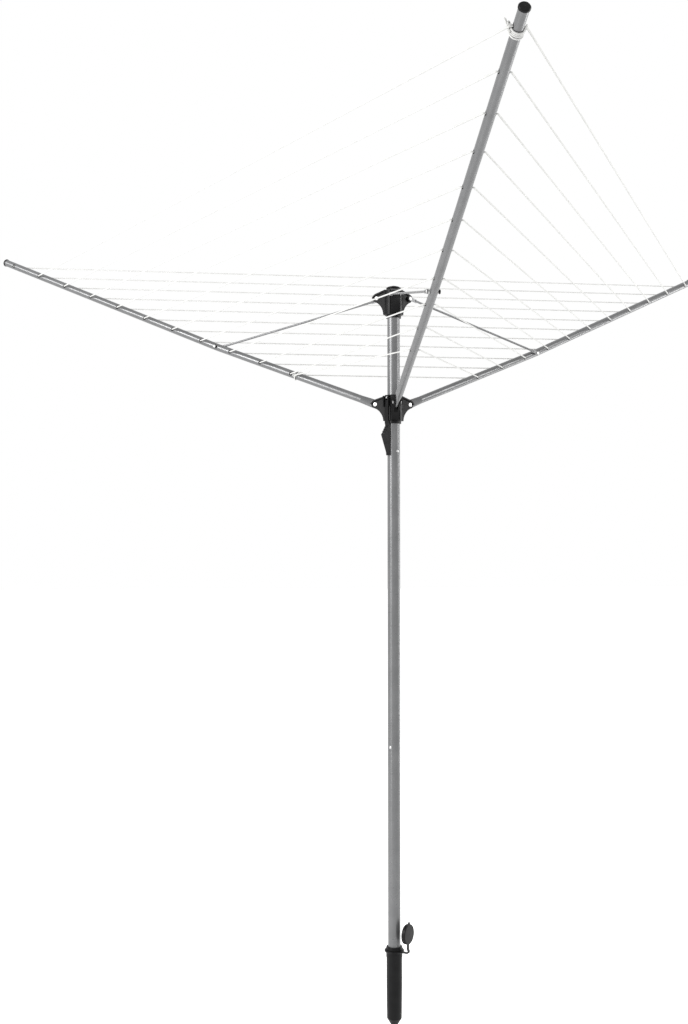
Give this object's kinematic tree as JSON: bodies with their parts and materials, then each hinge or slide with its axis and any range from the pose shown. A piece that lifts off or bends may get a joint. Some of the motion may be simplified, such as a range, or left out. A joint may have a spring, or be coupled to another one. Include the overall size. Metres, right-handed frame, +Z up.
{
  "type": "rotary clothesline",
  "caption": "Rotary clothesline: arms with threaded washing line fold up round a pole that turns in a ground socket with a hinged lid.",
  "frame": {"origin": "on the pole's axis at ground level, the underside of the socket's collar, which is the top of the ground pin", "axes": "+Z up along the pole; -Y towards the front arm; +X to the right seen from the front"},
  "size_m": [1.9934, 1.7288, 1.9295],
  "materials": {
    "black_plastic": "fine grain, slight sheen",
    "grey_tube": "silver-grey powder coat",
    "steel": "bright zinc",
    "line": "smooth PVC skin"
  },
  "bodies": {
    "ground": {"ground_socket": "black_plastic", "socket_cap_ring": "black_plastic"},
    "lid": {"socket_lid": "black_plastic"},
    "mast": {"pole_foot_plug": "black_plastic", "pole_lower": "grey_tube", "pole_spigot": "steel", "pole_joint_rivets": "steel", "pole_upper": "grey_tube", "top_hub": "black_plastic", "top_hub_cap": "black_plastic", "strut_hub_rivets": "steel"},
    "runner": {"lower_hub": "black_plastic", "arm_hub_rivets": "steel", "lever_pin": "steel", "lever_spring": "steel", "washing_line": "line"},
    "lever": {"lock_lever": "black_plastic"},
    "arm_front": {"arm_front": "grey_tube", "arm_cap_front": "black_plastic", "strut_rivet_front": "steel", "strut_washer_front": "black_plastic", "line_end_knot": "line"},
    "strut_front": {"strut_front": "grey_tube", "strut_head_front": "steel"},
    "arm_right": {"arm_right": "grey_tube", "arm_cap_right": "black_plastic", "strut_rivet_right": "steel", "strut_washer_right": "black_plastic"},
    "strut_right": {"strut_right": "grey_tube", "strut_head_right": "steel"},
    "arm_left": {"arm_left": "grey_tube", "arm_cap_left": "black_plastic", "strut_rivet_left": "steel", "strut_washer_left": "black_plastic", "line_start_knot": "line"},
    "strut_left": {"strut_left": "grey_tube", "strut_head_left": "steel"}
  },
  "joints": [
    {"name": "pole_spin", "type": "hinge", "parent": "ground", "child": "mast", "pos_m": [0, 0, 0], "axis": [0, 0, 1], "continuous": true},
    {"name": "hub_slide", "type": "slide", "parent": "mast", "child": "runner", "axis": [0, 0, 1], "range_m": [-0.66, 0], "deforming": ["washing_line"]},
    {"name": "lever_press", "type": "hinge", "parent": "runner", "child": "lever", "pos_m": [-0.01732, -0.01, 1.3215], "axis": [-0.5, 0.866, 0], "range_deg": [0, 10], "stiffness_Nm_per_rad": 0.15, "springref_deg": -34.38},
    {"name": "lid_bend", "type": "hinge", "parent": "ground", "child": "lid", "pos_m": [0.02758, -0.02314, 0.0215], "axis": [0.6428, 0.766, 0], "range_deg": [-10, 95]},
    {"name": "arm_fold_front", "type": "hinge", "parent": "runner", "child": "arm_front", "pos_m": [0, -0.044, 1.3075], "axis": [-1, 0, 0], "range_deg": [-0.5, 67.1]},
    {"name": "arm_fold_right", "type": "hinge", "parent": "runner", "child": "arm_right", "pos_m": [0.0381, 0.022, 1.3075], "axis": [0.5, -0.866, 0], "range_deg": [-0.5, 67.1]},
    {"name": "arm_fold_left", "type": "hinge", "parent": "runner", "child": "arm_left", "pos_m": [-0.0381, 0.022, 1.3075], "axis": [0.5, 0.866, 0], "range_deg": [-0.5, 67.1]},
    {"name": "strut_fold_front", "type": "hinge", "parent": "mast", "child": "strut_front", "pos_m": [0, -0.04, 1.563], "axis": [1, 0, 0], "range_deg": [-0.5, 76.2]},
    {"name": "strut_fold_right", "type": "hinge", "parent": "mast", "child": "strut_right", "pos_m": [0.03464, 0.02, 1.563], "axis": [-0.5, 0.866, 0], "range_deg": [-0.5, 76.2]},
    {"name": "strut_fold_left", "type": "hinge", "parent": "mast", "child": "strut_left", "pos_m": [-0.03464, 0.02, 1.563], "axis": [-0.5, -0.866, 0], "range_deg": [-0.5, 76.2]}
  ],
  "couplings": [
    {"joint": "arm_fold_front", "follows": "hub_slide", "rad_per_m": -1.7586},
    {"joint": "arm_fold_right", "follows": "hub_slide", "rad_per_m": -1.7586},
    {"joint": "arm_fold_left", "follows": "hub_slide", "rad_per_m": -1.7586},
    {"joint": "strut_fold_front", "follows": "hub_slide", "rad_per_m": -1.999},
    {"joint": "strut_fold_right", "follows": "hub_slide", "rad_per_m": -1.999},
    {"joint": "strut_fold_left", "follows": "hub_slide", "rad_per_m": -1.999}
  ]
}
